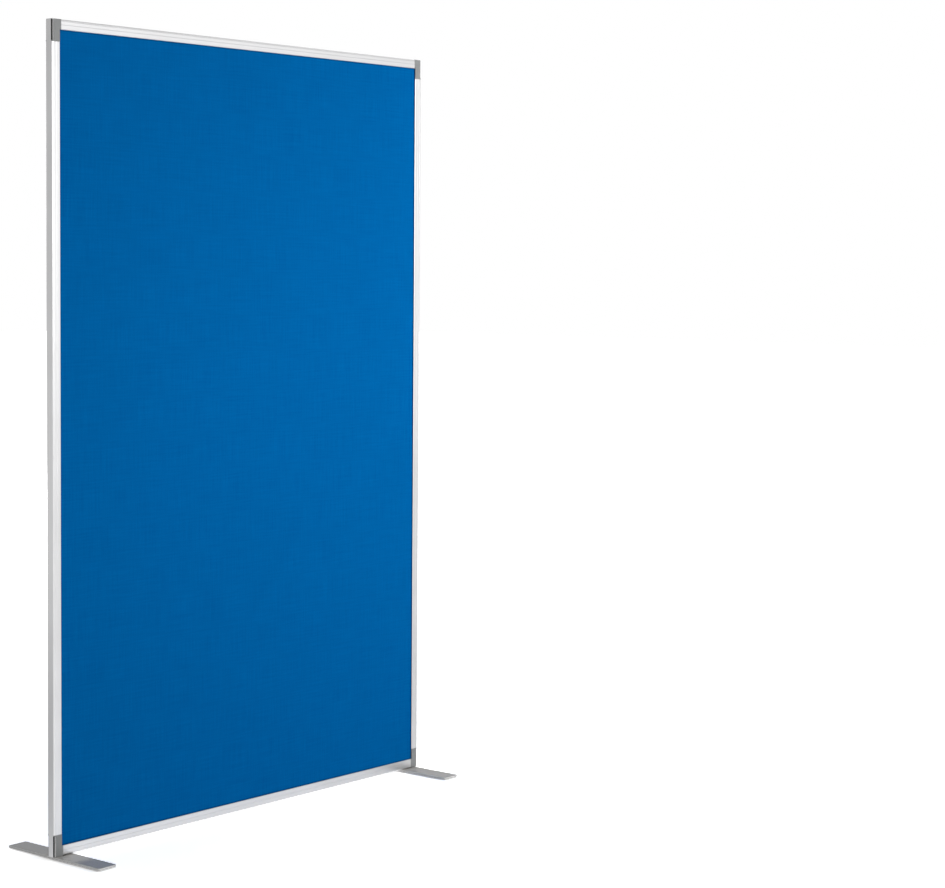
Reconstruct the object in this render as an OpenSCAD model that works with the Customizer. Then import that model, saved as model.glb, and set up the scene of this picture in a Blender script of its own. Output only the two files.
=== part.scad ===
// Free-standing acoustic divider screen: a fabric-covered sound-absorbing panel in an extruded
// aluminium frame with corner caps, standing on two flat swivelling feet.
// X runs along the screen, Y from front to back, Z up. The origin is on the floor, under the middle.

/* [Screen] */
// Width of the frame, from outer side to outer side
screen_w = 1200; // [700:10:1600]
// Height of the frame without its feet
screen_h = 1800; // [1000:10:2000]

/* [Frame extrusion] */
// Width of the extrusion's face, all round the panel
face_w = 22; // [20:0.5:30]
// Depth of the extrusion from front face to back face
depth = 22; // [20:0.5:30]
// Wall of the extrusion
wall = 1.6; // [1.2:0.1:2]
// Inside width of the hollow chamber behind the outer wall
chamber_w = 8.4; // [7:0.1:9.5]
// Radius of the outer edges
edge_r = 3; // [2.2:0.1:3.6]
// Width of the two fine V-shaped lines along each face
line_w = 1.2; // [0.6:0.1:1.4]
// Distance from the outer edge to the middle of the first line
edge_line_at = 4.3; // [4.2:0.1:5]
// Distance from the outer edge to the middle of the second line
middle_line_at = 11.8; // [10:0.1:13]
// Width of the bevel on the lip beside the fabric
lip_bevel = 1.1; // [0.4:0.1:1.4]

/* [Corner caps] */
// Height of a cap along the upright
cap_h = 48; // [40:1:70]
// Reach of a cap along the rail, from the frame's outer side
cap_reach = 25.5; // [24:0.5:26]
// Thickness of the cap's end wall
cap_end_t = 1.5; // [1:0.1:3]
// Width of the linking slot in the cap's outer edge
slot_w = 3.8; // [3:0.1:4.2]
// Depth of the linking slot
slot_d = 3.1; // [2.4:0.1:3.6]
// Length of the linking slot, open at the frame's end
slot_l = 45; // [30:1:46]
// Margin of connector that shows beside the upright's tongue
tongue_margin = 0.4; // [0.2:0.1:0.8]

/* [Corner connectors] */
// Length of each spigot inside an extrusion
spigot_l = 60; // [50:1:90]
// Play of the spigots, nut and caps on each side
fit_gap = 0.1; // [0.05:0.01:0.2]
// Distance of a spigot's screw from the end of the extrusion
screw_at = 40; // [36:1:45]
// Radius of the screw's shank
screw_r = 1.75; // [1.25:0.05:2]
// Length of the screw's shank
screw_l = 8; // [6:0.5:8]
// Radius of the screw's pan head
screw_head_r = 3; // [2.5:0.1:3.5]
// Height of the screw's pan head
screw_head_h = 1.5; // [1:0.1:1.8]
// Radial play round the screw's shank
screw_play = 0.1; // [0.05:0.01:0.15]

/* [Acoustic panel] */
// Play between the panel's edge and the floor of the frame's groove
panel_play = 2; // [1.9:0.1:3]
// Thickness of the sound-absorbing core
core_t = 10; // [6:0.5:12]
// Thickness of each pinboard
board_t = 2.5; // [1.5:0.1:3]
// Thickness of each fabric cover
fabric_t = 0.5; // [0.3:0.1:0.8]
// Width of the battens round the core
batten_w = 20; // [15:1:60]
// Width of the seal strips between panel and frame
seal_w = 5.5; // [3:0.5:6]
// Distance of the seal strips behind the frame's lip
seal_inset = 1.8; // [1.5:0.1:2.3]

/* [Feet] */
// Length of a foot plate, front to back
foot_l = 300; // [240:5:500]
// Width of a foot plate
foot_w = 50; // [40:1:80]
// Thickness of a foot plate
foot_t = 5; // [4.5:0.5:10]
// Radius of a foot plate's corners
foot_corner_r = 4; // [1:0.5:12]
// Distance from the frame's outer side to the foot plate's outer edge
foot_inset = 5; // [3:1:8]
// Length of a pad under a foot plate
pad_l = 36; // [20:1:60]
// Width of a pad
pad_w = 34; // [20:1:38]
// Thickness of a pad
pad_t = 2; // [1:0.5:5]
// Radius of a pad's corners
pad_corner_r = 5; // [1:0.5:9]
// Distance from a pad to the foot plate's end
pad_inset = 10; // [4:1:30]
// Outer radius of the friction washer between foot and frame
washer_r = 10; // [8:0.5:11]
// Thickness of the friction washer
washer_t = 1; // [0.5:0.1:2]
// Radius of the foot bolt's shank
bolt_r = 3; // [2.5:0.1:3.5]
// Radius of the foot bolt's countersunk head
bolt_head_r = 6; // [5:0.1:7]
// Height of the foot bolt's countersunk head
bolt_head_h = 3.2; // [2.5:0.1:3.5]
// Radius of the hexagon socket, across its corners
socket_r = 2.3; // [1.5:0.1:2.5]
// Depth of the hexagon socket
socket_depth = 2; // [1:0.1:2.4]
// Radial running clearance of the foot plate on its bolt
swivel_gap = 0.05; // [0.02:0.01:0.1]
// Radial play of the bolt in the frame and washer
bolt_play = 0.3; // [0.1:0.1:0.5]
// Side of the square foot nut
nut_w = 14; // [12:0.5:16]
// Height of the foot nut
nut_t = 6; // [4:0.5:6.5]
// Radial play between bolt and nut, taken up by the thread
thread_play = 0.03; // [0.01:0.01:0.05]

/* [Hidden] */
round_fn = 64;
socket_sides = 6;
cut = 1;
left = 0;
right = 1;
bottom = 0;
top = 1;
sides = [left, right];
ends = [bottom, top];
faces = [-1, 1];

rise = pad_t + foot_t + washer_t;
half_depth = depth / 2;
inner_half_depth = half_depth - wall;
groove_floor = wall + chamber_w + wall;
slot_floor = half_depth - slot_d;
tongue_half_w = slot_floor - tongue_margin;
upright_l = screen_h - 2 * cap_h;
rail_l = screen_w - 2 * cap_reach;
chamber_end = wall + chamber_w;

panel_edge = groove_floor + panel_play;
panel_w = screen_w - 2 * panel_edge;
panel_h = screen_h - 2 * panel_edge;
panel_t = core_t + 2 * board_t + 2 * fabric_t;
board_at = core_t / 2;
fabric_at = board_at + board_t;
seal_t = inner_half_depth - panel_t / 2;
seal_at = face_w - seal_inset - seal_w;
panel_mid_z = rise + screen_h / 2;

foot_at = foot_inset + foot_w / 2;
bolt_l = foot_t + washer_t + wall + nut_t;

aluminium = "silver";
cap_grey = "gray";
connector_black = "dimgray";
screw_zinc = "lightgray";
fabric_blue = [0, 0.33, 0.62];
pinboard_brown = "peru";
core_white = "whitesmoke";
batten_wood = "burlywood";
seal_black = [0.1, 0.1, 0.11];
foot_silver = "darkgray";
pad_black = [0.15, 0.15, 0.15];

// Places. A side's own frame has X from the frame's outer side inwards and Z up from its bottom
module at_side(side) {
    mirror([side, 0, 0])
        translate([-screen_w / 2, 0, rise])
            children();
}

// A corner's own frame has X from the outer side inwards and Z from the frame's end inwards
module at_corner(side, end) {
    at_side(side)
        translate([0, 0, end * screen_h])
            mirror([0, 0, end])
                children();
}

// A rail's own frame has X along the rail from its middle and Z from the frame's end inwards
module at_end(end) {
    translate([0, 0, rise + end * screen_h])
        mirror([0, 0, end])
            children();
}

// Turns a section drawn from the outer edge inwards into a bar along X
module along_rail(length) {
    rotate([0, -90, 0])
        linear_extrude(height = length, center = true)
            children();
}

// Shapes that several parts share
module outer_rounded(w, d, r) {
    translate([r, -d / 2])
        square([w - r, d]);
    translate([0, r - d / 2])
        square([w, d - 2 * r]);
    for (f = faces)
        translate([r, f * (d / 2 - r)])
            circle(r, $fn = round_fn);
}

// Right-angled notch, as deep as it is wide to each side
module notch(size) {
    rotate(45)
        square(size * sqrt(2), center = true);
}

module rounded_plate(length_x, length_y, t, r) {
    linear_extrude(height = t) {
        square([length_x - 2 * r, length_y], center = true);
        square([length_x, length_y - 2 * r], center = true);
        for (x = faces, y = faces)
            translate([x * (length_x / 2 - r), y * (length_y / 2 - r)])
                circle(r, $fn = round_fn);
    }
}

// Section of the frame: chamber behind the outer wall, web, and groove for the panel
module frame_section() {
    difference() {
        outer_rounded(face_w, depth, edge_r);
        translate([wall, 0])
            outer_rounded(chamber_w, depth - 2 * wall, edge_r - wall);
        translate([groove_floor, -inner_half_depth])
            square([face_w - groove_floor + cut, 2 * inner_half_depth]);
        for (f = faces) {
            for (line_at = [edge_line_at, middle_line_at])
                translate([line_at, f * half_depth])
                    notch(line_w / 2);
            translate([face_w, f * half_depth])
                notch(lip_bevel);
        }
    }
}

// Uprights, whose outer wall runs on as a tongue past the corner caps
module upright(side) {
    color(aluminium)
        at_side(side)
            difference() {
                union() {
                    translate([0, 0, cap_h])
                        linear_extrude(height = upright_l)
                            frame_section();
                    translate([0, -tongue_half_w, 0])
                        cube([wall, 2 * tongue_half_w, screen_h]);
                }
                for (end = ends)
                    translate([0, 0, end * screen_h])
                        mirror([0, 0, end])
                            upright_screw_place()
                                cylinder(r = screw_r + screw_play, h = wall + 2 * cut, center = true,
                                    $fn = round_fn);
            }
}

// Middle of the upright's web at a connector screw, with Z pointing from the groove to the chamber
module upright_screw_place() {
    translate([chamber_end + wall / 2, 0, cap_h + screw_at])
        rotate([0, -90, 0])
            children();
}

// The same place in a rail
module rail_screw_place() {
    translate([cap_reach + screw_at, 0, chamber_end + wall / 2])
        rotate([180, 0, 0])
            children();
}

// Rails between the caps. The bottom rail is drilled for the foot bolts
module rail(end) {
    color(aluminium)
        difference() {
            at_end(end)
                along_rail(rail_l)
                    frame_section();
            for (side = sides) {
                at_corner(side, end)
                    rail_screw_place()
                        cylinder(r = screw_r + screw_play, h = wall + 2 * cut, center = true,
                            $fn = round_fn);
                if (end == bottom)
                    at_corner(side, end)
                        translate([foot_at, 0, -cut])
                            cylinder(r = bolt_r + bolt_play, h = wall + 2 * cut, $fn = round_fn);
            }
        }
}

// Corner cap: front and rear walls joined by the end wall, with a linking slot in both outer edges
module cap(side, end) {
    color(cap_grey)
        at_corner(side, end)
            difference() {
                union() {
                    linear_extrude(height = cap_h)
                        outer_rounded(face_w, depth, edge_r);
                    translate([edge_r, -half_depth, 0])
                        cube([cap_reach - edge_r, depth, face_w]);
                }
                // passage for the connector and the upright's tongue
                translate([-cut, -slot_floor - fit_gap, cap_end_t])
                    cube([chamber_end + fit_gap + cut, 2 * (slot_floor + fit_gap), cap_h + cut]);
                translate([-cut, -slot_floor - fit_gap, -cut])
                    cube([slot_w + cut, 2 * (slot_floor + fit_gap), cap_h + 2 * cut]);
                // room for the panel's corner, open towards the panel
                translate([chamber_end, -inner_half_depth, cap_end_t])
                    cube([cap_reach, 2 * inner_half_depth, cap_h]);
                // linking slots, open at the frame's end
                for (f = faces)
                    translate([(slot_w - cut) / 2, f * (half_depth + cut - (slot_d + cut) / 2), (slot_l - cut) / 2])
                        cube([slot_w + cut, slot_d + cut, slot_l + cut], center = true);
            }
}

// Corner connector: an angle block inside the cap, with a spigot for each extrusion
module connector(side, end) {
    color(connector_black)
        at_corner(side, end)
            difference() {
                union() {
                    translate([0, -slot_floor, 0])
                        cube([slot_w - fit_gap, 2 * slot_floor, cap_h]);
                    translate([0, -slot_floor, cap_end_t + fit_gap])
                        cube([chamber_end, 2 * slot_floor, cap_h - cap_end_t - fit_gap]);
                    translate([0, -slot_floor, cap_end_t + fit_gap])
                        cube([cap_reach, 2 * slot_floor, chamber_end - cap_end_t - fit_gap]);
                    spigot_up();
                    spigot_across();
                }
                // channel for the upright's tongue
                translate([-cut, -tongue_half_w, -cut])
                    cube([wall + cut, 2 * tongue_half_w, cap_h + cut]);
                // pocket for the foot nut
                translate([foot_at - nut_w / 2 - fit_gap, -nut_w / 2 - fit_gap, 0])
                    cube([nut_w + 2 * fit_gap, nut_w + 2 * fit_gap, wall + nut_t + fit_gap]);
                upright_screw_place()
                    connector_screw_hole();
                rail_screw_place()
                    connector_screw_hole();
            }
}

module spigot_up() {
    translate([wall + fit_gap, -inner_half_depth + edge_r, chamber_end])
        cube([chamber_w - 2 * fit_gap, 2 * (inner_half_depth - edge_r), cap_h - chamber_end + spigot_l]);
    translate([edge_r, -inner_half_depth + fit_gap, cap_h])
        cube([chamber_end - edge_r - fit_gap, 2 * (inner_half_depth - fit_gap), spigot_l]);
}

module spigot_across() {
    translate([slot_w, -inner_half_depth + edge_r, wall + fit_gap])
        cube([cap_reach - slot_w + spigot_l, 2 * (inner_half_depth - edge_r), chamber_w - 2 * fit_gap]);
    translate([cap_reach, -inner_half_depth + fit_gap, edge_r])
        cube([spigot_l, 2 * (inner_half_depth - fit_gap), chamber_end - edge_r - fit_gap]);
}

// Pilot hole, from the web's middle to the end of the screw's shank
module connector_screw_hole() {
    cylinder(r = screw_r + thread_play, h = screw_l - wall / 2 + fit_gap, $fn = round_fn);
}

// Pan-head screws, two at each corner, their heads in the panel groove
module connector_screws() {
    color(screw_zinc)
        for (side = sides, end = ends)
            at_corner(side, end) {
                upright_screw_place()
                    pan_screw();
                rail_screw_place()
                    pan_screw();
            }
}

module pan_screw() {
    translate([0, 0, -wall / 2]) {
        cylinder(r = screw_r, h = screw_l, $fn = round_fn);
        translate([0, 0, -screw_head_h])
            cylinder(r = screw_head_r, h = screw_head_h, $fn = round_fn);
    }
}

// Acoustic panel
module slab(w, t, h) {
    translate([-w / 2, -t / 2, panel_mid_z - h / 2])
        cube([w, t, h]);
}

module sound_core() {
    color(core_white)
        slab(panel_w - 2 * batten_w, core_t, panel_h - 2 * batten_w);
}

module side_batten(side) {
    color(batten_wood)
        mirror([side, 0, 0])
            translate([(batten_w - panel_w) / 2, 0, 0])
                slab(batten_w, core_t, panel_h);
}

module end_batten(end) {
    color(batten_wood)
        at_end(end)
            translate([-panel_w / 2 + batten_w, -core_t / 2, panel_edge])
                cube([panel_w - 2 * batten_w, core_t, batten_w]);
}

module pinboard(face) {
    color(pinboard_brown)
        translate([0, face * (board_at + board_t / 2), 0])
            slab(panel_w, board_t, panel_h);
}

module fabric(face) {
    color(fabric_blue)
        translate([0, face * (fabric_at + fabric_t / 2), 0])
            slab(panel_w, fabric_t, panel_h);
}

// Seal strips that pack the panel into the frame's grooves, front and rear
module side_seal(side) {
    color(seal_black)
        at_side(side)
            for (f = faces)
                translate([seal_at, f * (panel_t + seal_t) / 2 - seal_t / 2, cap_h])
                    cube([seal_w, seal_t, upright_l]);
}

module end_seal(end) {
    color(seal_black)
        at_end(end)
            for (f = faces)
                translate([-rail_l / 2, f * (panel_t + seal_t) / 2 - seal_t / 2, seal_at])
                    cube([rail_l, seal_t, seal_w]);
}

// Feet. A foot's own frame has its origin on the swivel axis at the floor
module at_foot(side) {
    mirror([side, 0, 0])
        translate([foot_at - screen_w / 2, 0, 0])
            children();
}

module foot_plate(side) {
    color(foot_silver)
        at_foot(side)
            translate([0, 0, pad_t])
                difference() {
                    rounded_plate(foot_w, foot_l, foot_t, foot_corner_r);
                    translate([0, 0, -cut])
                        cylinder(r = bolt_r + swivel_gap, h = foot_t + 2 * cut, $fn = round_fn);
                    cylinder(r1 = bolt_head_r + swivel_gap, r2 = bolt_r + swivel_gap, h = bolt_head_h,
                        $fn = round_fn);
                }
}

module foot_pads(side) {
    color(pad_black)
        at_foot(side)
            for (f = faces)
                translate([0, f * (foot_l / 2 - pad_inset - pad_l / 2), 0])
                    rounded_plate(pad_w, pad_l, pad_t, pad_corner_r);
}

module foot_bolt(side) {
    color(screw_zinc)
        at_foot(side)
            translate([0, 0, pad_t])
                difference() {
                    union() {
                        cylinder(r = bolt_r, h = bolt_l, $fn = round_fn);
                        cylinder(r1 = bolt_head_r, r2 = bolt_r, h = bolt_head_h, $fn = round_fn);
                    }
                    translate([0, 0, -cut])
                        cylinder(r = socket_r, h = socket_depth + cut, $fn = socket_sides);
                }
}

module foot_nut(side) {
    color(screw_zinc)
        at_foot(side)
            translate([0, 0, rise + wall])
                difference() {
                    translate([-nut_w / 2, -nut_w / 2, 0])
                        cube([nut_w, nut_w, nut_t]);
                    translate([0, 0, -cut])
                        cylinder(r = bolt_r + thread_play, h = nut_t + 2 * cut, $fn = round_fn);
                }
}

module foot_washer(side) {
    color(connector_black)
        at_foot(side)
            translate([0, 0, pad_t + foot_t])
                difference() {
                    cylinder(r = washer_r, h = washer_t, $fn = round_fn);
                    translate([0, 0, -cut])
                        cylinder(r = bolt_r + bolt_play, h = washer_t + 2 * cut, $fn = round_fn);
                }
}

upright(left);  // left_upright
upright(right);  // right_upright
rail(top);  // top_rail
rail(bottom);  // bottom_rail
cap(left, top);  // top_left_cap
cap(right, top);  // top_right_cap
cap(left, bottom);  // bottom_left_cap
cap(right, bottom);  // bottom_right_cap
connector(left, top);  // top_left_connector
connector(right, top);  // top_right_connector
connector(left, bottom);  // bottom_left_connector
connector(right, bottom);  // bottom_right_connector
connector_screws();
sound_core();
side_batten(left);  // left_batten
side_batten(right);  // right_batten
end_batten(top);  // top_batten
end_batten(bottom);  // bottom_batten
pinboard(-1);  // front_pinboard
pinboard(1);  // rear_pinboard
fabric(-1);  // front_fabric
fabric(1);  // rear_fabric
side_seal(left);  // left_seal
side_seal(right);  // right_seal
end_seal(top);  // top_seal
end_seal(bottom);  // bottom_seal
foot_plate(left);  // left_foot_plate
foot_plate(right);  // right_foot_plate
foot_pads(left);  // left_foot_pads
foot_pads(right);  // right_foot_pads
foot_bolt(left);  // left_foot_bolt
foot_bolt(right);  // right_foot_bolt
foot_nut(left);  // left_foot_nut
foot_nut(right);  // right_foot_nut
foot_washer(left);  // left_foot_washer
foot_washer(right);  // right_foot_washer
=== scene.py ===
"""Looks of a free-standing acoustic divider screen: a fabric-covered panel in an aluminium frame with grey
corner caps, on two flat swivelling feet. Lengths are in metres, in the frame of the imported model."""
import math

import bmesh
import bpy
import numpy as np
from mathutils import Matrix, Vector, geometry


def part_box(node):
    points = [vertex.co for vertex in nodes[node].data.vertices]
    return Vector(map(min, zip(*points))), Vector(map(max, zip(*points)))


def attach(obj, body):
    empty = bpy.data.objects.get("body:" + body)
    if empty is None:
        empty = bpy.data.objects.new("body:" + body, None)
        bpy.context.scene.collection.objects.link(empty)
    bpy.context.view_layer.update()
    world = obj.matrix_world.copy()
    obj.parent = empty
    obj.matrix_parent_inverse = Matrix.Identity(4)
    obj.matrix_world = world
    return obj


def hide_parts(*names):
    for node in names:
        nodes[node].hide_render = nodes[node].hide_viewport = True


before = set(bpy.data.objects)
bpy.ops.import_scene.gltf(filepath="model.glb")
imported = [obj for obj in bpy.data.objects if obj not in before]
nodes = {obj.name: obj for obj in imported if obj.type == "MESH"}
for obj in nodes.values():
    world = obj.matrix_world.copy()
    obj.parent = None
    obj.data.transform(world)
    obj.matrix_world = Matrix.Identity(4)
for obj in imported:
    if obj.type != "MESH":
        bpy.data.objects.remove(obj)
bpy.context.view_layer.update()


# The camera stands at the front left, a little over five metres away and at chest height, with a long
# lens. The lens is shifted, so that it looks almost level and the uprights stay nearly parallel.
PICTURE_W = 945
FOCAL_PIXELS = 2270.8
RISE_PIXELS = 57.0
CAMERA_AT = (-3.7763, -3.7729, 1.289)
HEADING, PITCH, ROLL = math.radians(50.659), math.radians(3.035), math.radians(0.406)
SENSOR_MM = 36


def camera_axes(heading, pitch, roll):
    """Columns right, up and back of a camera. The level axes turn by the heading, then the view tips
    down by the pitch, and last the picture turns by the roll."""
    level_right = np.array([math.cos(heading), -math.sin(heading), 0])
    level_ahead = np.array([math.sin(heading), math.cos(heading), 0])
    below = np.array([0, 0, -1])
    ahead = math.cos(pitch) * level_ahead + math.sin(pitch) * below
    down = math.cos(pitch) * below - math.sin(pitch) * level_ahead
    right = math.cos(roll) * level_right - math.sin(roll) * down
    down = math.sin(roll) * level_right + math.cos(roll) * down
    return np.stack([right, -down, -ahead], axis=1)


camera = bpy.data.objects.new("camera", bpy.data.cameras.new("camera"))
camera.data.sensor_width = SENSOR_MM
camera.data.lens = SENSOR_MM * FOCAL_PIXELS / PICTURE_W
camera.data.shift_y = -RISE_PIXELS / PICTURE_W
camera.matrix_world = Matrix.Translation(CAMERA_AT) @ Matrix(camera_axes(HEADING, PITCH, ROLL)).to_4x4()
bpy.context.scene.collection.objects.link(camera)
bpy.context.scene.camera = camera
bpy.context.scene.view_settings.view_transform = "Standard"


# The room is a pale floor under an even sky, with soft lamps in front, to the right and behind. Floor and
# sky turn white where the camera sees them, and the floor keeps the soft shadow of the feet. Metal sees
# its glow with spots of painted shade beside the screen, and some lamps light only metal or only the rest.
FLOOR_SIZE = 60.0
FLOOR_GREY = 0.8
FLOOR_FOR_CAMERA = 1.6
FLOOR_IN_METAL = 0.82
NEAR_GLOW, FAR_GLOW = 0.16, 0.92
NEAR, FAR = 0.8, 2.5
REAR_GLOW, REAR_BAND = 0.32, 0.1
# Spots of painted shade in the floor's glow as the metal sees it, each on one side of the screen.
PAINTED_SHADE_SPOTS = [
    # middle, where the painted shade is strongest and where it ends, share taken off, side of the screen
    ((-1.4, 1.1, 0.0), 0.4, 2.4, 0.82, 1),
    ((1.4, -0.5, 0.0), 0.4, 1.9, 0.6, -1),
]
SIDE_BAND = 0.04
SKY_LEVEL = 0.2
SKY_IN_METAL = 0.68
LAMPS = {
    # name: place, what it faces, size, power, whether metal mirrors it, whether it lights cloth and paint
    "lamp_by_camera": ((-4.2, -4.2, 2.3), (0.0, 0.0, 1.0), (2.4, 2.2), 97, True, True),
    "lamp_front": ((0.4, -4.2, 1.9), (0.0, 0.0, 0.9), (2.8, 2.4), 37, True, True),
    "lamp_right": ((2.2, -2.4, 1.7), (0.2, 0.0, 0.9), (2.4, 2.4), 13.5, True, True),
    "lamp_fabric": ((1.6, -1.4, 1.42), (0.3, 0.0, 1.3), (0.8, 0.8), 24.5, False, True),
    "lamp_fabric_middle": ((-0.05, -1.0, 1.1), (-0.05, 0.0, 1.1), (0.5, 0.5), 1.8, False, True),
    "lamp_rear": ((0.0, 4.2, 2.6), (0.0, 0.0, 0.9), (3.0, 2.4), 48, True, True),
    "lamp_rear_fabric": ((3.0, 8.6, 1.1), (0.0, 0.0, 0.9), (2.6, 1.6), 380, False, True),
    "lamp_right_high": ((4.6, 0.6, 5.2), (0.0, 0.0, 1.7), (3.0, 3.0), 36, True, False),
}


def add_node(tree, kind, inputs=None, **settings):
    """Adds a shader node. Its named inputs are joined to sockets or set to values."""
    made = tree.nodes.new(kind)
    for key, value in settings.items():
        setattr(made, key, value)
    for key, value in (inputs or {}).items():
        if isinstance(value, bpy.types.NodeSocket):
            tree.links.new(value, made.inputs[key])
        else:
            made.inputs[key].default_value = value
    return made


def add_math(tree, operation, *values):
    """Adds a sum, product or other operation on sockets and numbers, and returns its result."""
    return add_node(tree, "ShaderNodeMath", dict(enumerate(values)), operation=operation).outputs[0]


def add_slope(tree, value, start, end, low, high):
    """Adds a straight slope, low where the value is at its start and high at its end, and level outside
    them. Returns its result."""
    return add_node(tree, "ShaderNodeMapRange", {
        "Value": value, "From Min": start, "From Max": end, "To Min": low, "To Max": high}).outputs[0]


def light_floor():
    """Floor material. Its diffuse grey lights the screen, and a brighter one lets the camera see the shadow
    at the feet. Its glow for the camera grows with the distance from the screen and is more behind it. Its
    glow in metal is even, but each spot of painted shade takes its share off near its middle, on its own
    side of the screen, and less and less further out."""
    material = bpy.data.materials.new("pale_floor")
    material.use_nodes = True
    tree = material.node_tree
    tree.nodes.clear()
    path = add_node(tree, "ShaderNodeLightPath")
    to_camera = path.outputs["Is Camera Ray"]
    place = add_node(tree, "ShaderNodeTexCoord").outputs["Object"]
    away = add_node(tree, "ShaderNodeVectorMath", {0: place}, operation="LENGTH").outputs["Value"]
    behind = add_node(tree, "ShaderNodeSeparateXYZ", {"Vector": place}).outputs["Y"]
    grey = add_math(tree, "MULTIPLY_ADD", to_camera, FLOOR_FOR_CAMERA - FLOOR_GREY, FLOOR_GREY)
    plain = add_node(tree, "ShaderNodeBsdfDiffuse", {"Color": grey})
    outwards = add_slope(tree, away, NEAR, FAR, NEAR_GLOW, FAR_GLOW)
    at_rear = add_slope(tree, behind, 0.0, REAR_BAND, 0.0, REAR_GLOW)
    for_camera = add_math(tree, "MULTIPLY", add_math(tree, "ADD", outwards, at_rear), to_camera)
    in_metal = FLOOR_IN_METAL
    for middle, near, far, share, side in PAINTED_SHADE_SPOTS:
        # Painted shade: the metal's view of the floor glow is darkened around each spot.
        distance = add_node(tree, "ShaderNodeVectorMath", {0: place, 1: middle}, operation="DISTANCE")
        painted_shade = add_slope(tree, distance.outputs["Value"], near, far, share, 0.0)
        on_side = add_slope(tree, behind, 0.0, side * SIDE_BAND, 0.0, 1.0)
        kept = add_math(tree, "SUBTRACT", 1.0, add_math(tree, "MULTIPLY", painted_shade, on_side))
        in_metal = add_math(tree, "MULTIPLY", in_metal, kept)
    level = add_math(tree, "MULTIPLY_ADD", path.outputs["Is Glossy Ray"], in_metal, for_camera)
    glow = add_node(tree, "ShaderNodeEmission", {"Strength": level})
    both = add_node(tree, "ShaderNodeAddShader", {0: plain.outputs[0], 1: glow.outputs[0]})
    add_node(tree, "ShaderNodeOutputMaterial", {"Surface": both.outputs[0]})
    return material


reach = FLOOR_SIZE / 2
floor_mesh = bpy.data.meshes.new("floor")
floor_mesh.from_pydata(
    [(-reach, -reach, 0), (reach, -reach, 0), (reach, reach, 0), (-reach, reach, 0)], [], [(0, 1, 2, 3)])
floor_mesh.materials.append(light_floor())
floor = bpy.data.objects.new("floor", floor_mesh)
bpy.context.scene.collection.objects.link(floor)

sky = bpy.data.worlds.new("sky")
sky.use_nodes = True
sky_tree = sky.node_tree
sky_path = add_node(sky_tree, "ShaderNodeLightPath")
for_metal = add_node(sky_tree, "ShaderNodeMix", {
    "Factor": sky_path.outputs["Is Glossy Ray"], "A": SKY_LEVEL, "B": SKY_IN_METAL}, data_type="FLOAT")
seen = add_node(sky_tree, "ShaderNodeMix", {
    "Factor": sky_path.outputs["Is Camera Ray"], "A": for_metal.outputs[0], "B": 1.0}, data_type="FLOAT")
sky_tree.links.new(seen.outputs[0], sky_tree.nodes["Background"].inputs["Strength"])
sky_tree.nodes["Background"].inputs["Color"].default_value = (1, 1, 1, 1)
bpy.context.scene.world = sky

for name, (place, target, size, power, mirrored, lights_all) in LAMPS.items():
    light = bpy.data.lights.new(name, "AREA")
    light.shape = "RECTANGLE"
    light.size, light.size_y = size
    light.energy = power
    lamp = bpy.data.objects.new(name, light)
    turn = (Vector(target) - Vector(place)).to_track_quat("-Z", "Y")
    lamp.matrix_world = Matrix.Translation(place) @ turn.to_matrix().to_4x4()
    lamp.visible_camera = False
    lamp.visible_glossy = mirrored
    lamp.visible_diffuse = lights_all
    bpy.context.scene.collection.objects.link(lamp)


# The uprights are aluminium extrusions, sawn to length and anodised natural silver. Each has a hollow
# chamber outside, a groove for the panel inside and two fine V-shaped lines along each face. Its outer
# wall runs on past the corner caps as a tongue.
MM = 0.001
FACE_W = 22 * MM
HALF_DEPTH = 11 * MM
WALL = 1.6 * MM
CHAMBER_END = 10 * MM
GROOVE_FLOOR = 11.6 * MM
EDGE_R = 3 * MM
LINES_AT = (4.3 * MM, 11.8 * MM)
LINE_HALF = 0.6 * MM
LIP_BEVEL = 1.1 * MM
TONGUE_HALF = 7.5 * MM
SOFT_EDGE = 0.12 * MM
ARC_STEPS = 7
SHARP_ANGLE = math.radians(50)
SILVER_DARK, SILVER_LIGHT = (0.565, 0.565, 0.57), (0.625, 0.625, 0.63)
SILVER_ROUGH = (0.3, 0.38)
DIE_LINES_ACROSS, DIE_LINES_ALONG = 1200.0, 4.0
DIE_RELIEF, DIE_RELIEF_SHARE = 0.01 * MM, 0.35
CLOUDS_PER_M = 9.0
NOISE_LOW, NOISE_HIGH = 0.3, 0.7


def rounded(corners, radii, steps=ARC_STEPS):
    """Outline with rounded corners. Each corner turns into an arc that touches its two sides: the centre
    lies r / sin(half angle) along the bisector, and the points turn evenly from one touching point to the
    other."""
    corner = np.asarray(corners, float)
    r = np.broadcast_to(np.asarray(radii, float), len(corner))[:, None, None]
    back = np.roll(corner, 1, 0) - corner
    ahead = np.roll(corner, -1, 0) - corner
    back = back / np.linalg.norm(back, axis=1, keepdims=True)
    ahead = ahead / np.linalg.norm(ahead, axis=1, keepdims=True)
    half = np.arccos(np.clip((back * ahead).sum(1), -1, 1))[:, None, None] / 2
    middle = (back + ahead) / np.linalg.norm(back + ahead, axis=1, keepdims=True)
    centre = corner[:, None] + middle[:, None] * r / np.sin(half)
    first = corner[:, None] + back[:, None] * r / np.tan(half) - centre
    last = corner[:, None] + ahead[:, None] * r / np.tan(half) - centre
    turn = np.pi - 2 * half
    t = np.linspace(0, 1, steps)[None, :, None]
    arc = (np.sin((1 - t) * turn) * first + np.sin(t * turn) * last) / np.sin(turn)
    return (centre + arc).reshape(-1, 2)


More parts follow.
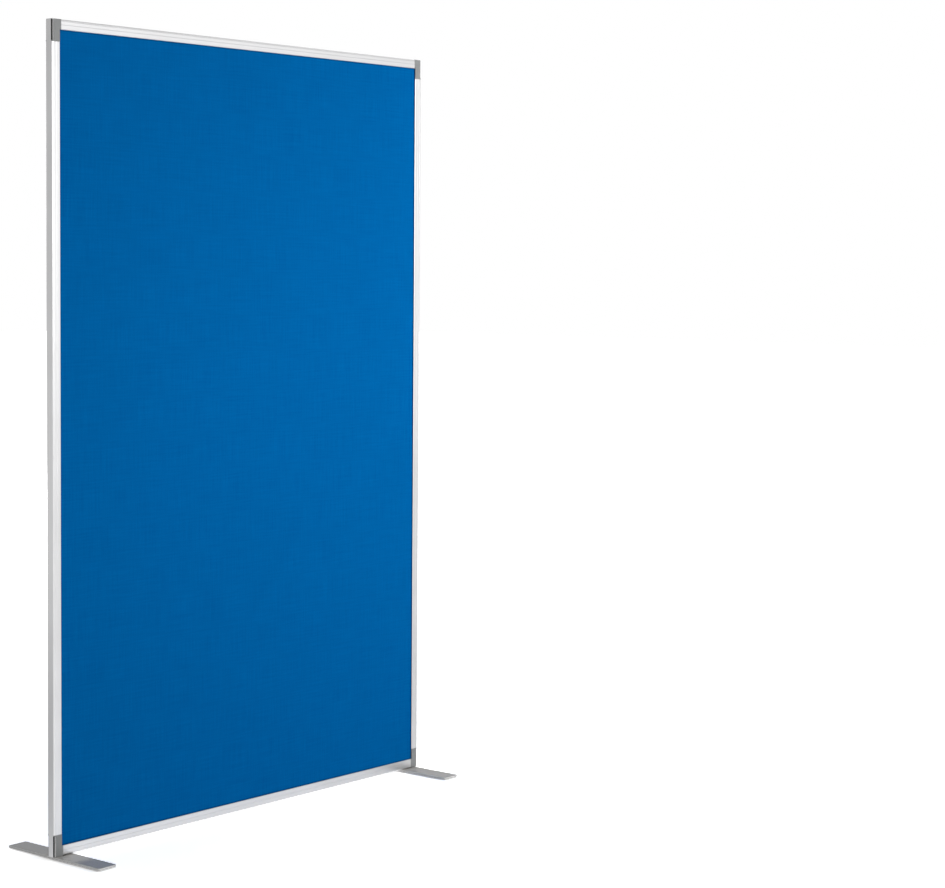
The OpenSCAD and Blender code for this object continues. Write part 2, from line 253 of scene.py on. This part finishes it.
def lofted(stations):
    """Closed solid through a row of sections. A section is a list of loops of points, the outer one first
    and its holes after it. Matching points of neighbouring sections are joined by quads, and the first and
    last section are filled with triangles that leave the holes open. Returns its points and faces."""
    counts = [len(loop) for loop in stations[0]]
    points = np.array([np.concatenate(loops) for loops in stations])
    rows, ring = points.shape[:2]
    starts = np.cumsum([0] + counts[:-1])
    here = np.arange(ring)
    ahead = np.concatenate([start + np.roll(np.arange(n), -1) for start, n in zip(starts, counts)])
    row = (np.arange(rows - 1) * ring)[:, None]
    quads = np.stack([row + here, row + ahead, row + ahead + ring, row + here + ring], -1).reshape(-1, 4)
    ends = [
        np.array(geometry.tessellate_polygon([[Vector(p) for p in loop] for loop in loops]))
        for loops in (stations[0], stations[-1])]
    faces = quads.tolist() + ends[0][:, ::-1].tolist() + (ends[1] + (rows - 1) * ring).tolist()
    return points.reshape(-1, 3), faces


def make_piece(name, shells, material, body, replaced, sharp_angle=SHARP_ANGLE, weighted=True):
    """Puts closed shells into one mesh piece, with its faces pointing outwards, rounded edges shaded
    smooth and flat faces shaded flat, and hands it to its body."""
    points = np.concatenate([shell[0] for shell in shells])
    shifts = np.cumsum([0] + [len(shell[0]) for shell in shells[:-1]])
    faces = [[int(i + shift) for i in face] for shell, shift in zip(shells, shifts) for face in shell[1]]
    mesh = bpy.data.meshes.new(name)
    mesh.from_pydata(points.tolist(), [], faces)
    shape = bmesh.new()
    shape.from_mesh(mesh)
    bmesh.ops.recalc_face_normals(shape, faces=shape.faces)
    shape.to_mesh(mesh)
    shape.free()
    mesh.shade_smooth()
    mesh.set_sharp_from_angle(angle=sharp_angle)
    mesh.materials.append(material)
    piece = bpy.data.objects.new(name, mesh)
    bpy.context.scene.collection.objects.link(piece)
    if weighted:
        shading = piece.modifiers.new("flat_faces", "WEIGHTED_NORMAL")
        shading.keep_sharp = True
    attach(piece, body)
    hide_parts(*replaced)
    return piece


def frame_section():
    """Section of the extrusion, as distance in from the outer edge and depth from the middle: the outline
    with its lines, lips and panel groove, and the chamber as its hole."""
    def face(sign):
        lines = [(at + way * LINE_HALF, sign * (HALF_DEPTH - (way == 0) * LINE_HALF))
                 for at in LINES_AT for way in (-1, 0, 1)]
        return lines + [(FACE_W - LIP_BEVEL, sign * HALF_DEPTH), (FACE_W, sign * (HALF_DEPTH - LIP_BEVEL)),
                        (FACE_W, sign * (HALF_DEPTH - WALL)), (GROOVE_FLOOR, sign * (HALF_DEPTH - WALL))]
    front, rear = face(-1), face(1)
    corners = [(0, -HALF_DEPTH), *front, *rear[::-1], (0, HALF_DEPTH)]
    radii = np.full(len(corners), SOFT_EDGE)
    radii[[0, -1]] = EDGE_R
    inner = HALF_DEPTH - WALL
    chamber = [(WALL, -inner), (CHAMBER_END, -inner), (CHAMBER_END, inner), (WALL, inner)]
    return rounded(corners, radii), rounded(chamber, [EDGE_R - WALL, SOFT_EDGE, SOFT_EDGE, EDGE_R - WALL])


def add_shades(tree, value, start, end, dark, light):
    """Adds a run of colour from dark, where the value is at its start, to light at its end."""
    shades = add_node(tree, "ShaderNodeValToRGB", {"Fac": value})
    first, last = shades.color_ramp.elements
    first.position, last.position = start, end
    first.color, last.color = (*dark, 1), (*light, 1)
    return shades.outputs[0]


def anodised(name, along):
    """Natural anodised aluminium. Fine lines from the die run along the bar: noise stretched a few hundred
    times along it shifts the grey, the roughness and the relief a little."""
    material = bpy.data.materials.new(name)
    material.use_nodes = True
    tree = material.node_tree
    shader = tree.nodes["Principled BSDF"]
    shader.inputs["Metallic"].default_value = 1.0
    place = add_node(tree, "ShaderNodeTexCoord").outputs["Object"]
    per_metre = np.full(3, DIE_LINES_ACROSS)
    per_metre[along] = DIE_LINES_ALONG
    die = add_node(tree, "ShaderNodeMapping", {"Vector": place, "Scale": per_metre.tolist()})
    lines = add_node(tree, "ShaderNodeTexNoise", {"Vector": die.outputs[0], "Scale": 1.0, "Detail": 3.0})
    cloud = add_node(tree, "ShaderNodeTexNoise", {"Vector": place, "Scale": CLOUDS_PER_M, "Detail": 2.0})
    mean = add_math(tree, "MULTIPLY", add_math(tree, "ADD", lines.outputs[0], cloud.outputs[0]), 0.5)
    grey = add_shades(tree, mean, NOISE_LOW, NOISE_HIGH, SILVER_DARK, SILVER_LIGHT)
    tree.links.new(grey, shader.inputs["Base Color"])
    rough = add_slope(tree, mean, NOISE_LOW, NOISE_HIGH, *SILVER_ROUGH)
    tree.links.new(rough, shader.inputs["Roughness"])
    relief = add_node(tree, "ShaderNodeBump", {
        "Strength": DIE_RELIEF_SHARE, "Distance": DIE_RELIEF, "Height": lines.outputs[0]})
    tree.links.new(relief.outputs[0], shader.inputs["Normal"])
    return material


outline, chamber = frame_section()
upright_metal = anodised("anodised_upright", along=2)
tongue_corners = [(0, -TONGUE_HALF), (WALL, -TONGUE_HALF), (WALL, TONGUE_HALF), (0, TONGUE_HALF)]
tongue = rounded(tongue_corners, SOFT_EDGE)
for side, inwards in (("left", 1), ("right", -1)):
    low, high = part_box(f"{side}_upright")
    outer_x = low.x if inwards == 1 else high.x
    cap_low, cap_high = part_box(f"bottom_{side}_cap")
    cap_h = cap_high.z - cap_low.z
    bar = [
        [np.column_stack([outer_x + inwards * loop[:, 0], loop[:, 1], np.full(len(loop), z)])
         for loop in (outline, chamber)]
        for z in (low.z + cap_h, high.z - cap_h)]
    tongues = [
        lofted([[np.column_stack([outer_x + inwards * tongue[:, 0], tongue[:, 1], np.full(len(tongue), z)])]
                for z in span])
        for span in ((low.z, low.z + cap_h), (high.z - cap_h, high.z))]
    make_piece(f"{side}_upright_bar", [lofted(bar), *tongues], upright_metal,
               "frame", [f"{side}_upright"])


# The rails are the same extrusion, laid across between the caps, lines and lips outwards. The bottom
# one carries the feet.
rail_metal = anodised("anodised_rail", along=0)
for end, inwards in (("bottom", 1), ("top", -1)):
    low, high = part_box(f"{end}_rail")
    outer_z = low.z if inwards == 1 else high.z
    bar = [
        [np.column_stack([np.full(len(loop), x), loop[:, 1], outer_z + inwards * loop[:, 0]])
         for loop in (outline, chamber)]
        for x in (low.x, high.x)]
    make_piece(f"{end}_rail_bar", [lofted(bar)], rail_metal, "frame", [f"{end}_rail"])


# The corner caps are moulded in grey plastic. A cap is a front and a rear wall joined by an end wall,
# and leaves a linking slot at each outer edge, open at the frame's end. The inner side wall of each slot
# is given a pale colour, a painted highlight of the light that catches it.
SLOT_W = 3.8 * MM
SLOT_L = 45 * MM
SLOT_FLOOR = 7.9 * MM
CAP_PLAY = 0.1 * MM
CAP_END_T = 1.5 * MM
CAP_EDGE = 0.3 * MM
CAP_LIP_EDGE = 1.0 * MM
CAP_EDGE_STEPS = 4
CLOSURE_STEPS = 6
CAP_SHARP_ANGLE = math.radians(180)
BENT_ANGLE = math.radians(30)
FLAT_ANGLE = 0.01
TOUCH = 0.001 * MM
GRAIN_RELIEF_SHARE = 0.6
THIN_WALLS, THICK_WALLS = [0, 4], [0, 1, 3, 4]


def from_cells(cuts, filled):
    """Surface of the filled cells of a box grid. filled[i, j, k] says whether the cell between the i-th
    and next cut along X, and so on, is solid. A face lies wherever a solid cell meets an empty one."""
    solid = np.pad(filled, 1)
    corner_id = np.arange(np.prod([len(c) for c in cuts])).reshape([len(c) for c in cuts])
    points = np.stack(np.meshgrid(*cuts, indexing="ij"), -1).reshape(-1, 3)
    faces = []
    for axis in range(3):
        step = np.moveaxis(solid, axis, 0)
        wall = (step[1:] != step[:-1])[:, 1:-1, 1:-1]
        ids = np.moveaxis(corner_id, axis, 0)
        quads = np.stack([ids[:, :-1, :-1], ids[:, 1:, :-1], ids[:, 1:, 1:], ids[:, :-1, 1:]], -1)
        faces.append(quads[wall])
    faces = np.concatenate(faces)
    used, faces = np.unique(faces, return_inverse=True)
    return points[used], faces.reshape(-1, 4)


def grained(name, dark, light, grain, relief, shader_values, stretch=(1, 1, 1), rough=None):
    """Material with an irregular grain of the given size in metres: noise turns the colour between dark
    and light and gives the relief, whose depth is in metres. rough is the lowest and highest roughness."""
    material = bpy.data.materials.new(name)
    material.use_nodes = True
    tree = material.node_tree
    shader = tree.nodes["Principled BSDF"]
    for key, value in shader_values.items():
        shader.inputs[key].default_value = value
    place = add_node(tree, "ShaderNodeTexCoord").outputs["Object"]
    scaled = add_node(tree, "ShaderNodeMapping", {"Vector": place, "Scale": [s / grain for s in stretch]})
    noise = add_node(tree, "ShaderNodeTexNoise", {"Vector": scaled.outputs[0], "Scale": 1.0, "Detail": 4.0})
    colour = add_shades(tree, noise.outputs[0], NOISE_LOW, NOISE_HIGH, dark, light)
    tree.links.new(colour, shader.inputs["Base Color"])
    if rough:
        dull = add_slope(tree, noise.outputs[0], NOISE_LOW, NOISE_HIGH, *rough)
        tree.links.new(dull, shader.inputs["Roughness"])
    bump = add_node(tree, "ShaderNodeBump", {
        "Strength": GRAIN_RELIEF_SHARE, "Distance": relief, "Height": noise.outputs[0]})
    tree.links.new(bump.outputs[0], shader.inputs["Normal"])
    return material


cap_plastic = grained("cap_plastic", (0.19, 0.195, 0.195), (0.225, 0.23, 0.23), 0.6 * MM, 0.01 * MM,
                      {"Specular IOR Level": 0.5}, rough=(0.34, 0.44))
# Painted highlight: a pale colour on the slot's inner side wall, for the light that catches it.
slot_wall_painted_highlight = grained("slot_wall_painted_highlight", (0.82, 0.82, 0.82), (0.88, 0.88, 0.88), 1.0 * MM, 0.003 * MM, {},
                     rough=(0.4, 0.5))
inner = HALF_DEPTH - WALL
cuts_d = np.array([-HALF_DEPTH, -inner, -SLOT_FLOOR - CAP_PLAY, SLOT_FLOOR + CAP_PLAY, inner, HALF_DEPTH])
# Cells count in from the outer edge, from the front to the rear, and in from the frame's end: the end
# wall, the walls beside the connector and the panel's corner, and the walls past the slots' ends.
filled = np.zeros((4, 5, 4), bool)
filled[1:, :, 0] = True
filled[1, THICK_WALLS, 1:3] = True
filled[2, THIN_WALLS, 1:3] = True
filled[3, THIN_WALLS, 1] = True
filled[:2, THICK_WALLS, 3] = True
filled[2, THIN_WALLS, 3] = True
for side, inwards in (("left", 1), ("right", -1)):
    for end, upwards in (("bottom", 1), ("top", -1)):
        low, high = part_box(f"{end}_{side}_cap")
        outer_x = low.x if inwards == 1 else high.x
        outer_z = low.z if upwards == 1 else high.z
        cuts_w = np.array([0, SLOT_W, CHAMBER_END + CAP_PLAY, FACE_W, high.x - low.x])
        cuts_l = np.array([0, CAP_END_T, FACE_W, SLOT_L, high.z - low.z])
        points, faces = from_cells((cuts_w, cuts_d, cuts_l), filled)
        placed = (outer_x, 0, outer_z) + points * (inwards, 1, upwards)
        cap = make_piece(f"{end}_{side}_cap_cover", [(placed, faces)], cap_plastic, "frame",
                         [f"{end}_{side}_cap"], sharp_angle=CAP_SHARP_ANGLE, weighted=False)
        shape = bmesh.new()
        shape.from_mesh(cap.data)
        bmesh.ops.dissolve_limit(shape, angle_limit=FLAT_ANGLE, verts=shape.verts, edges=shape.edges)
        # The faces of each slot's inner side wall take the pale painted highlight.
        cap.data.materials.append(slot_wall_painted_highlight)
        for flat in shape.faces:
            in_slot = all(math.isclose(abs(v.co.x - outer_x), SLOT_W, abs_tol=TOUCH) for v in flat.verts)
            flat.material_index = 1 if in_slot else 0
        closure = [
            edge for edge in shape.edges
            if all(math.isclose(abs(v.co.x - outer_x), 0, abs_tol=TOUCH) for v in edge.verts)
            and all(math.isclose(abs(v.co.y), HALF_DEPTH, abs_tol=TOUCH) for v in edge.verts)]
        bmesh.ops.bevel(shape, geom=closure, offset=EDGE_R - CAP_PLAY, segments=CLOSURE_STEPS,
                        profile=0.5, affect="EDGES")
        weight = shape.edges.layers.float.new("bevel_weight_edge")
        for edge in shape.edges:
            x, y, z = abs(np.array([vertex.co for vertex in edge.verts]) - (outer_x, 0, outer_z)).T
            rim = np.isclose(x, SLOT_W).all() or np.isclose(x, FACE_W).all() or np.isclose(z, FACE_W).all()
            lip = rim and np.isclose(y, HALF_DEPTH).all()
            soft = edge.calc_face_angle() < BENT_ANGLE
            edge[weight] = 0.0 if soft else 1.0 if lip else CAP_EDGE / CAP_LIP_EDGE
        shape.to_mesh(cap.data)
        shape.free()
        soften = cap.modifiers.new("soft_edges", "BEVEL")
        soften.width = CAP_LIP_EDGE
        soften.segments = CAP_EDGE_STEPS
        soften.limit_method = "WEIGHT"
        shading = cap.modifiers.new("flat_faces", "WEIGHTED_NORMAL")
        shading.keep_sharp = True


# The connectors are black nylon angle blocks inside the caps, and show only at the bottom of the
# linking slots. Zinc-plated pan-head screws hold each one to the upright's and the rail's web.
def dress(node_names, material):
    """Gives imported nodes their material."""
    for name in node_names:
        for entry in nodes[name].material_slots:
            entry.material = material


CORNERS = [f"{end}_{side}" for end in ("top", "bottom") for side in ("left", "right")]
nylon = grained("black_nylon", (0.012, 0.012, 0.013), (0.02, 0.02, 0.021), 0.5 * MM, 0.01 * MM,
                {"Specular IOR Level": 0.2}, rough=(0.45, 0.6))
zinc = grained("zinc_plate", (0.52, 0.53, 0.55), (0.66, 0.66, 0.66), 1.5 * MM, 0.004 * MM,
               {"Metallic": 1.0}, rough=(0.2, 0.34))
dress([f"{corner}_connector" for corner in CORNERS], nylon)
dress(["connector_screws"], zinc)


# The fabric covers are plain-woven cloth, stretched over the two pinboards and turned in round their
# edges, where the frame's lips hide them. Thick and thin places in the yarn run across and up, and the
# cloth's colour is darkened next to the lips as painted shade.
CLOTH_T = 0.5 * MM
TURN_IN = 6 * MM
BEND_R = 0.5 * MM
CELL = 12 * MM
BEND_STEPS, TURN_STEPS = 5, 3
YARN = 0.9 * MM
YARN_ROUND, YARN_END = 0.8, 0.3
WEAVE_RELIEF, WEAVE_RELIEF_SHARE = 0.12 * MM, 0.5
SLUBS_ACROSS, SLUBS_ALONG = 260, 11
SOFT_CLOUDS = 7
SLUB_TONE, CLOUD_TONE, SLUB_RELIEF = 0.4, 0.08, 0.6
TONE_LOW, TONE_HIGH = 0.3, 0.58
BLUE_DARK, BLUE_LIGHT = (0.0002, 0.085, 0.28), (0.0004, 0.109, 0.34)
# Painted shade along the lips: the share of the cloth's colour kept at a lip, and the width it fades over.
LIP_SHADE, LIP_SHADE_W = 0.5, 4.2 * MM


def cloth_axis(half_length):
    """Positions along one axis of a stretched cloth, as flat distance from the middle, place in the
    panel's plane and depth behind its face: straight across the face, a quarter circle round the edge,
    then straight back."""
    straight = half_length - (BEND_R - CLOTH_T / 2)
    cells = int(round(straight / CELL))
    face = np.linspace(0, straight, cells + 1)
    angle = np.linspace(0, math.pi / 2, BEND_STEPS + 1)[1:]
    arc = straight + BEND_R * angle
    back = np.linspace(0, TURN_IN, TURN_STEPS + 1)[1:]
    flat = np.concatenate([face, arc, arc[-1] + back])
    place = np.concatenate([face, straight + BEND_R * np.sin(angle), np.full(TURN_STEPS, straight + BEND_R)])
    depth = np.concatenate([np.zeros(len(face)), BEND_R * (1 - np.cos(angle)), BEND_R + back])
    flat, place, depth = (np.concatenate([sign * part[:0:-1], part]) for sign, part in
                          ((-1, flat), (-1, place), (1, depth)))
    return flat, place, depth


def woven_cloth(half_sight):
    """Plain weave in the cloth's own flat metres. Two rows of half waves, one for each set of yarns, take
    turns on top like a chessboard. Noise stretched along the yarns gives thick and thin places, and a
    coarse one clouds. The colour is darkened towards the edges of the frame's clear opening, whose half
    sizes are given, as painted shade from the lips."""
    material = bpy.data.materials.new("blue_weave")
    material.use_nodes = True
    tree = material.node_tree
    shader = tree.nodes["Principled BSDF"]
    shader.inputs["Roughness"].default_value = 0.95
    shader.inputs["Specular IOR Level"].default_value = 0.0

    def maths(operation, *values):
        return add_math(tree, operation, *values)

    def stretched_noise(scale, detail):
        mapped = add_node(tree, "ShaderNodeMapping", {"Vector": flat, "Scale": scale})
        return add_node(tree, "ShaderNodeTexNoise", {
            "Vector": mapped.outputs[0], "Scale": 1.0, "Detail": detail}).outputs[0]

    flat = add_node(tree, "ShaderNodeUVMap", uv_map="flat").outputs[0]
    parts = add_node(tree, "ShaderNodeSeparateXYZ", {"Vector": flat})
    waves = [maths("SINE", maths("MULTIPLY", parts.outputs[i], math.pi / YARN)) for i in (0, 1)]
    across, up = (maths("ABSOLUTE", wave) for wave in waves)
    warp_on_top = maths("GREATER_THAN", maths("MULTIPLY", *waves), 0.0)
    warp = maths("MULTIPLY", maths("POWER", across, YARN_ROUND), maths("POWER", up, YARN_END))
    weft = maths("MULTIPLY", maths("POWER", up, YARN_ROUND), maths("POWER", across, YARN_END))
    height = maths("ADD", weft, maths("MULTIPLY", warp_on_top, maths("SUBTRACT", warp, weft)))
    slubs = maths("ADD", stretched_noise((SLUBS_ACROSS, SLUBS_ALONG, 1), 3.0),
                  stretched_noise((SLUBS_ALONG, SLUBS_ACROSS, 1), 3.0))
    clouds = stretched_noise((SOFT_CLOUDS, SOFT_CLOUDS, 1), 2.0)
    tone = maths("ADD", maths("MULTIPLY", slubs, SLUB_TONE), maths("MULTIPLY", clouds, CLOUD_TONE))
    shade = add_shades(tree, tone, TONE_LOW, TONE_HIGH, BLUE_DARK, BLUE_LIGHT)
    # Painted shade: the colour is scaled down within LIP_SHADE_W of the clear opening's edges.
    inside = maths("MINIMUM", *(
        maths("SUBTRACT", half, maths("ABSOLUTE", parts.outputs[i])) for i, half in enumerate(half_sight)))
    painted_lip_shade = add_slope(tree, inside, 0.0, LIP_SHADE_W, LIP_SHADE, 1.0)
    shaded = add_node(tree, "ShaderNodeVectorMath", {0: shade, "Scale": painted_lip_shade}, operation="SCALE")
    tree.links.new(shaded.outputs[0], shader.inputs["Base Color"])
    relief = maths("ADD", height, maths("MULTIPLY", slubs, SLUB_RELIEF))
    bump = add_node(tree, "ShaderNodeBump", {
        "Strength": WEAVE_RELIEF_SHARE, "Distance": WEAVE_RELIEF, "Height": relief})
    tree.links.new(bump.outputs[0], shader.inputs["Normal"])
    return material


frame_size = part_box("top_right_cap")[1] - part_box("bottom_left_cap")[0]
weave = woven_cloth((frame_size.x / 2 - FACE_W, frame_size.z / 2 - FACE_W))
for face_name, outwards in (("front", -1), ("rear", 1)):
    low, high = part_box(f"{face_name}_fabric")
    flat_x, place_x, depth_x = cloth_axis((high.x - low.x) / 2)
    flat_z, place_z, depth_z = cloth_axis((high.z - low.z) / 2)
    outer_y = low.y if outwards == -1 else high.y
    middle_z = (low.z + high.z) / 2
    columns, rows = len(flat_x), len(flat_z)
    u, v = np.meshgrid(np.arange(columns), np.arange(rows), indexing="ij")
    depth = CLOTH_T / 2 + np.maximum(depth_x[u], depth_z[v])
    points = np.stack([place_x[u], outer_y - outwards * depth, middle_z + place_z[v]], -1).reshape(-1, 3)
    ids = np.arange(columns * rows).reshape(columns, rows)
    quads = np.stack([ids[:-1, :-1], ids[1:, :-1], ids[1:, 1:], ids[:-1, 1:]], -1)
    turned_x = np.maximum(depth_x[:-1], depth_x[1:]) > 0
    turned_z = np.maximum(depth_z[:-1], depth_z[1:]) > 0
    quads = quads[~(turned_x[:, None] & turned_z[None, :])]
    if outwards == 1:
        quads = quads[:, ::-1]
    used, quads = np.unique(quads, return_inverse=True)
    quads = quads.reshape(-1, 4)
    flat_uv = np.stack([flat_x[u], flat_z[v]], -1).reshape(-1, 2)[used]
    mesh = bpy.data.meshes.new(f"{face_name}_fabric_cover")
    mesh.from_pydata(points[used].tolist(), [], quads.tolist())
    uv = mesh.uv_layers.new(name="flat")
    uv.data.foreach_set("uv", flat_uv[quads.ravel()].ravel())
    mesh.shade_smooth()
    mesh.materials.append(weave)
    cover = bpy.data.objects.new(f"{face_name}_fabric_cover", mesh)
    bpy.context.scene.collection.objects.link(cover)
    thick = cover.modifiers.new("cloth_thickness", "SOLIDIFY")
    thick.thickness = CLOTH_T
    thick.offset = 0.0
    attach(cover, "frame")
    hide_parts(f"{face_name}_fabric")


# The panel behind the fabric is a fleece core in a frame of softwood battens, between two soft
# fibreboards that take pins. Foam strips pack it into the grooves.
SOFTWOOD = ((0.5, 0.33, 0.17), (0.68, 0.5, 0.3), 4 * MM, 0.1 * MM, {})
fibreboard = grained("fibreboard", (0.3, 0.2, 0.11), (0.46, 0.33, 0.2), 1.2 * MM, 0.1 * MM, {},
                     rough=(0.8, 0.95))
softwood = grained("softwood", *SOFTWOOD, stretch=(1, 1, 0.04), rough=(0.55, 0.7))
softwood_across = grained("softwood_across", *SOFTWOOD, stretch=(0.04, 1, 1), rough=(0.55, 0.7))
fleece = grained("fleece", (0.62, 0.62, 0.6), (0.82, 0.82, 0.8), 2 * MM, 0.4 * MM,
                 {"Specular IOR Level": 0.2}, rough=(0.9, 1.0))
foam_rubber = grained("foam_rubber", (0.01, 0.01, 0.011), (0.03, 0.03, 0.032), 0.8 * MM, 0.08 * MM, {},
                      rough=(0.8, 0.95))
dress(["front_pinboard", "rear_pinboard"], fibreboard)
dress(["left_batten", "right_batten"], softwood)
dress(["top_batten", "bottom_batten"], softwood_across)
dress(["sound_core"], fleece)
dress(["left_seal", "right_seal", "top_seal", "bottom_seal"], foam_rubber)


# A foot plate is flat steel with rounded corners and softened edges, painted silver grey with a satin
# gloss. Its side faces get a paler colour as a painted highlight. A countersunk bolt through it lets it
# turn in line with the screen for storage.
PLATE_CORNER_R = 4 * MM
PLATE_CORNER_STEPS = 13
PLATE_EDGE = 0.6 * MM
PLATE_EDGE_STEPS = 5
BOLT_HOLE_R = 3.05 * MM
HOLE_STEPS = 48
SINK_R = 6.05 * MM
SINK_H = 3.2 * MM
BY_BOLT = 2 * SINK_R
FLAT_FACING = 0.8


def plate_loop(centre, size_x, size_y, corner_r, inset, z):
    """Rounded rectangle, drawn in by the inset, at height z."""
    x, y = size_x / 2 - inset, size_y / 2 - inset
    corners = [(-x, -y), (x, -y), (x, y), (-x, y)]
    flat = rounded(corners, max(corner_r - inset, SOFT_EDGE), steps=PLATE_CORNER_STEPS)
    return np.column_stack([centre.x + flat[:, 0], centre.y + flat[:, 1], np.full(len(flat), z)])


def ring_loop(centre, r, z):
    """Circle of radius r at height z."""
    angle = np.linspace(0, 2 * math.pi, HOLE_STEPS, endpoint=False)
    level = np.full(HOLE_STEPS, z)
    return np.column_stack([centre.x + r * np.cos(angle), centre.y + r * np.sin(angle), level])


def soft_levels(z_low, z_high, edge):
    """Heights and insets of a slab whose edges are rounded by quarter circles."""
    angle = np.linspace(0, math.pi / 2, PLATE_EDGE_STEPS)
    lift, inset = edge * (1 - np.cos(angle)), edge * (1 - np.sin(angle))
    return [*zip(z_low + lift, inset), *zip(z_high - lift[::-1], inset[::-1])]


foot_paint = grained("silver_paint", (0.375, 0.362, 0.342), (0.415, 0.402, 0.382), 0.5 * MM, 0.006 * MM,
                     {"IOR": 1.28}, rough=(0.12, 0.18))
# Painted highlight: a paler grey for the plate's side faces, for the light that catches them.
foot_painted_highlight = grained("foot_painted_highlight", (0.58, 0.575, 0.565), (0.64, 0.635, 0.625), 0.5 * MM, 0.006 * MM, {},
                    rough=(0.3, 0.4))
for side in ("left", "right"):
    low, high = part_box(f"{side}_foot_plate")
    centre = (low + high) / 2
    size = high - low
    levels = sorted(soft_levels(low.z, high.z, PLATE_EDGE) + [(low.z + SINK_H, 0.0)])
    plate = []
    for z, inset in levels:
        hole_r = SINK_R + (BOLT_HOLE_R - SINK_R) * min((z - low.z) / SINK_H, 1)
        outside = plate_loop(centre, size.x, size.y, PLATE_CORNER_R, inset, z)
        plate.append([outside, ring_loop(centre, hole_r, z)])
    foot = make_piece(f"{side}_foot_flat", [lofted(plate)], foot_paint,
                      f"{side}_foot", [f"{side}_foot_plate"])
    foot.data.materials.append(foot_painted_highlight)
    # Side faces away from the countersink take the paler painted highlight.
    for face in foot.data.polygons:
        in_hole = (Vector(face.center.xy) - Vector(centre.xy)).length < BY_BOLT
        face.material_index = 1 if abs(face.normal.z) < FLAT_FACING and not in_hole else 0


# Two rubber pads under each foot keep it off the floor, glued in from below, with softened edges.
# The bolt, its nut in the connector and the washer that takes the foot's turning are hidden.
PAD_L = 36 * MM
PAD_CORNER_R = 5 * MM
PAD_EDGE = 0.5 * MM
rubber = grained("pad_rubber", (0.014, 0.014, 0.014), (0.03, 0.03, 0.03), 0.7 * MM, 0.03 * MM, {},
                 rough=(0.7, 0.9))
for side in ("left", "right"):
    low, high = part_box(f"{side}_foot_pads")
    bolt_low, bolt_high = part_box(f"{side}_foot_bolt")
    middle = (bolt_low + bolt_high) / 2
    pads = []
    for way in (-1, 1):
        centre = Vector((middle.x, way * (high.y - PAD_L / 2), 0))
        pads.append(lofted([
            [plate_loop(centre, high.x - low.x, PAD_L, PAD_CORNER_R, inset, z)]
            for z, inset in soft_levels(low.z, high.z, PAD_EDGE)]))
    make_piece(f"{side}_foot_rubber_pads", pads, rubber, f"{side}_foot", [f"{side}_foot_pads"])
dress([f"{side}_foot_{part}" for side in ("left", "right") for part in ("bolt", "nut")], zinc)
dress([f"{side}_foot_washer" for side in ("left", "right")], nylon)
